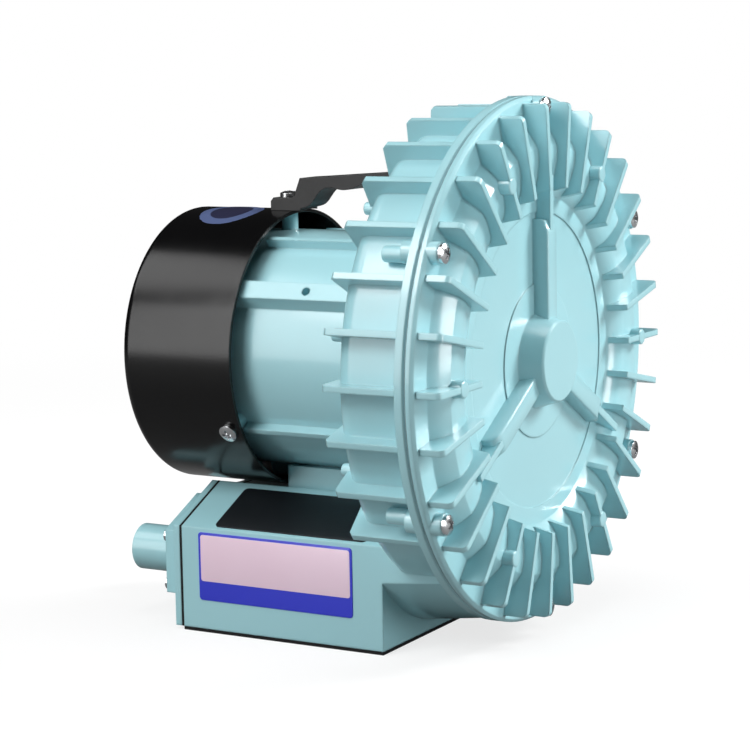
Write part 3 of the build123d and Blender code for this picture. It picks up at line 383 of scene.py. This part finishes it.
def lay_label():
    """Side label on the base: blue sheet whose pale field leaves a border and a wider foot band."""
    front, rear = JOINT_Y + 0.0555, JOINT_Y + 0.1308
    foot, top = SHAFT_Z - 0.1032, SHAFT_Z - 0.0738
    border, field_share = 0.0011, 0.68
    sheet_thickness, sheet_corner = 0.0003, 0.0015
    field_thickness, field_corner, field_edge = 0.00008, 0.0012, 0.00003
    width, height = rear - front, top - foot
    along, up = (0, -1, 0), (0, 0, 1)

    middle = (-BASE_HALF_WIDTH, (front + rear) / 2, (foot + top) / 2)
    sheet = rounded_outline(width, height, sheet_corner)
    plate("label_sheet", middle, along, up, sheet, sheet_thickness, label_blue())

    field_height = height * field_share
    field_middle = (-BASE_HALF_WIDTH - sheet_thickness, middle[Y], top - border - field_height / 2)
    field = rounded_outline(width - 2 * border, field_height, field_corner)
    plate("label_field", field_middle, along, up, field, field_thickness, label_pale(), field_edge)


def nameplate_black():
    """Anodised black of the bare nameplate."""
    f = Finish("nameplate_black", Base_Color=rgb("1A1F23"), Metallic=0.35)
    f.set(Roughness=0.3 + 0.1 * f.noise(scale=400))
    f.relief(f.noise(scale=1500), distance=0.00001)
    return f.material


def lay_nameplate():
    """Bare black plate on the base's sloped top."""
    front, rear = JOINT_Y + 0.050, JOINT_Y + 0.1235
    outer, inner = -0.0525, -0.027
    corner, thickness = 0.002, 0.0006
    up = (math.cos(SLOPE), 0, math.sin(SLOPE))
    x = (outer + inner) / 2
    centre = (x, (front + rear) / 2, SHOULDER_Z + (x + BASE_HALF_WIDTH) * math.tan(SLOPE))
    shape = rounded_outline(rear - front, (inner - outer) / math.cos(SLOPE), corner)
    plate("nameplate", centre, (0, -1, 0), up, shape, thickness, nameplate_black())


def sticker_ink(name, colour):
    """Printed colour of the oval sticker under its film."""
    f = Finish(name, Base_Color=rgb(colour), Coat_Weight=0.4, Coat_Roughness=0.15)
    f.set(Roughness=0.35 + 0.1 * f.noise(scale=200))
    return f.material


def lay_sticker():
    """Bare oval sticker on the fan cover: a dark field inside a paler ring.

    A point at share s from the middle to the rim and at turn t lies at angle A + s * sin(t) * half_turn
    round the shaft and at depth D + s * cos(t) * half_length. It is on the drum's radius plus the
    sticker's lift, except that the rim sinks into the drum.
    """
    middle, half_turn = math.radians(100), math.radians(16.5)
    depth, half_length = 0.138, 0.0155
    sink, around = 0.0002, 64
    share = np.array([0.02, 0.25, 0.5, 0.75, 1.0])[:, None]
    t = full_turn(around)
    for name, colour, size, lift in (
        ("sticker_ring", "4E5C84", 1.0, 0.00025), ("sticker_field", "20213C", 0.74, 0.00035),
    ):
        reach = share * size
        angle = middle + reach * np.sin(t) * half_turn
        radius = DRUM_RADIUS + np.where(share < 1, lift, -sink)
        y = JOINT_Y + depth + reach * np.cos(t) * half_length
        points = np.stack([radius * np.cos(angle), y, SHAFT_Z + radius * np.sin(angle)], -1)
        faces = grid_faces(len(share), around)[:, ::-1]
        piece(name, points, faces, sticker_ink(name, colour), np.arange(around))


def boss(name, circle, angle, face, foot, size):
    """Round boss along the shaft, on a circle round it: its face and foot are depths behind the joint.

    Its outline in (r, h) is a quarter circle from the face to the side, then a slight draft to the foot.
    """
    edge, draft, around = 0.0006, 1.06, 32
    a = math.radians(angle)
    x, z = circle * math.cos(a), SHAFT_Z + circle * math.sin(a)
    t = quarter_turn(5)
    r = np.concatenate([size - edge + edge * np.sin(t), [size * draft]])[:, None]
    h = np.concatenate([edge * (1 - np.cos(t)), [abs(foot - face)]])[:, None] * np.sign(foot - face)
    turn = full_turn(around)
    rings = np.broadcast_arrays(x + r * np.cos(turn), JOINT_Y + face + h, z + r * np.sin(turn))
    way = -1 if foot > face else 1
    faces = grid_faces(len(r), around)[:, ::way]
    piece(name, np.stack(rings, -1), faces, PAINT, np.arange(around)[::-way])


def pin_bosses():
    """Round marks of the casting's ejector pins: on the cover's fins and behind the casing's fins."""
    for k in range(6):
        boss(f"pin_boss_{k}", circle=0.0855, angle=60 * k, face=-0.0136, foot=-0.0085, size=0.0034)
    for k in range(7):
        boss(f"rear_pin_{k}", circle=0.088, angle=36 * k - 12, face=0.0432, foot=0.036, size=0.0026)


def thread_bosses():
    """The long thread bosses behind the casing's flange, beyond the short ones of the solid."""
    for k, angle in enumerate((30, 150, 210, 270, 330)):
        boss(f"thread_boss_{k}", circle=0.1012, angle=angle, face=0.019, foot=0.0085, size=0.0032)


def rib_pads():
    """Wide pads round the cover's three ribs, from the hub to a sloped outer end.

    Each is swept along its rib. Its section at r is a rectangle of half width w and height h(r), with
    its two upper corners cut back by e. h falls over the sloped end and then below the disc's face,
    which closes the pad.
    """
    w, e, foot = 0.00435, 0.0007, 0.0030
    top, bend, nose = 0.0102, 0.0085, 0.0060
    r, h = np.array([
        (0.0162, top - 0.0001), (0.0169, top), (0.035, top), (0.0525, top),
        (0.0537, top - 0.0002), (0.0577, bend), (0.0583, nose), (0.0584, foot),
    ]).T[..., None]
    side = np.array([-w, -w, -w + 0.3 * e, -w + e, w - e, w - 0.3 * e, w, w])
    drop = np.array([top, e, 0.3 * e, 0, 0, 0.3 * e, e, top])
    y = JOINT_Y - np.maximum(h - drop, foot)
    for k, angle in enumerate((90, 210, 330)):
        a = math.radians(angle)
        x = r * math.cos(a) - side * math.sin(a)
        z = SHAFT_Z + r * math.sin(a) + side * math.cos(a)
        faces = grid_faces(len(r), len(side), closed=False)[:, ::-1]
        piece(f"rib_pad_{k}", np.stack([x, y, z], -1), faces, PAINT)


lay_label()
lay_nameplate()
lay_sticker()
pin_bosses()
thread_bosses()
rib_pads()


def surround():
    """World that the camera sees as white."""
    world = bpy.data.worlds.new("surround")
    bpy.context.scene.world = world
    world.use_nodes = True
    nodes, links = world.node_tree.nodes, world.node_tree.links
    back = nodes["Background"]
    path = nodes.new("ShaderNodeLightPath")
    level = nodes.new("ShaderNodeMix")
    level.inputs[NUMBERS[0]].default_value = WORLD_LEVEL
    level.inputs[NUMBERS[1]].default_value = 1.0
    links.new(path.outputs["Is Camera Ray"], level.inputs[FACTOR])
    links.new(level.outputs[0], back.inputs["Strength"])
    back.inputs["Color"].default_value = WHITE


def floor_white():
    """Matt white that keeps a faint shadow, and glows plain white away from the object."""
    f = Finish("floor_white", Roughness=0.9)
    ray = f.node("ShaderNodeLightPath", out="Is Camera Ray")
    f.set(Base_Color=f.mix(ray, (FLOOR_TONE, FLOOR_TONE, FLOOR_TONE, 1.0), WHITE))
    distance = f.node("ShaderNodeVectorMath", {"operation": "LENGTH"}, {0: f.places()}, out="Value")
    share = f.node(
        "ShaderNodeMapRange",
        {"interpolation_type": "SMOOTHSTEP"},
        {
            "Value": distance,
            "From Min": FLOOR_NEAR,
            "From Max": FLOOR_FAR,
            "To Min": FLOOR_WHITE,
            "To Max": 1.0,
        },
        out="Result",
    )
    glow = f.node("ShaderNodeEmission", None, {"Color": WHITE})
    lit = Num(f, f.shader.outputs[0])
    blend = f.node("ShaderNodeMixShader", None, {0: share * ray, 1: lit, 2: glow})
    f.tree.links.new(blend.socket, f.tree.nodes["Material Output"].inputs["Surface"])
    return f.material


def floor():
    """Flat floor under the base."""
    mesh = bpy.data.meshes.new("floor")
    corners = [(x * FLOOR_REACH, y * FLOOR_REACH, 0) for x, y in ((-1, -1), (1, -1), (1, 1), (-1, 1))]
    mesh.from_pydata(corners, [], [(0, 1, 2, 3)])
    mesh.materials.append(floor_white())
    item = bpy.data.objects.new("floor", mesh)
    bpy.context.scene.collection.objects.link(item)


def lamp(name, place, size, power):
    """Soft rectangular lamp, turned towards the object."""
    data = bpy.data.lights.new(name, "AREA")
    data.shape = "RECTANGLE"
    data.size, data.size_y = size
    data.energy = power
    item = bpy.data.objects.new(name, data)
    item.location = place
    way = np.array(LAMP_AIM) - np.array(place)
    yaw, pitch = math.atan2(way[Y], way[X]), math.atan2(way[Z], math.hypot(way[X], way[Y]))
    item.rotation_euler = (math.pi / 2 + pitch, 0, yaw - math.pi / 2)
    bpy.context.scene.collection.objects.link(item)


def camera():
    """Camera at the photograph's viewing angle."""
    data = bpy.data.cameras.new("photo_camera")
    data.lens = LENS
    data.shift_x, data.shift_y = LENS_SHIFT
    data.clip_start, data.clip_end = CLIP_NEAR, CLIP_FAR
    item = bpy.data.objects.new("photo_camera", data)
    item.location = CAMERA_PLACE
    item.rotation_euler = [math.radians(turn) for turn in CAMERA_TURNS]
    bpy.context.scene.collection.objects.link(item)
    bpy.context.scene.camera = item


bpy.context.scene.view_settings.view_transform = "Standard"
surround()
floor()
for name, place, size, power in LAMPS:
    lamp(name, place, size, power)
camera()
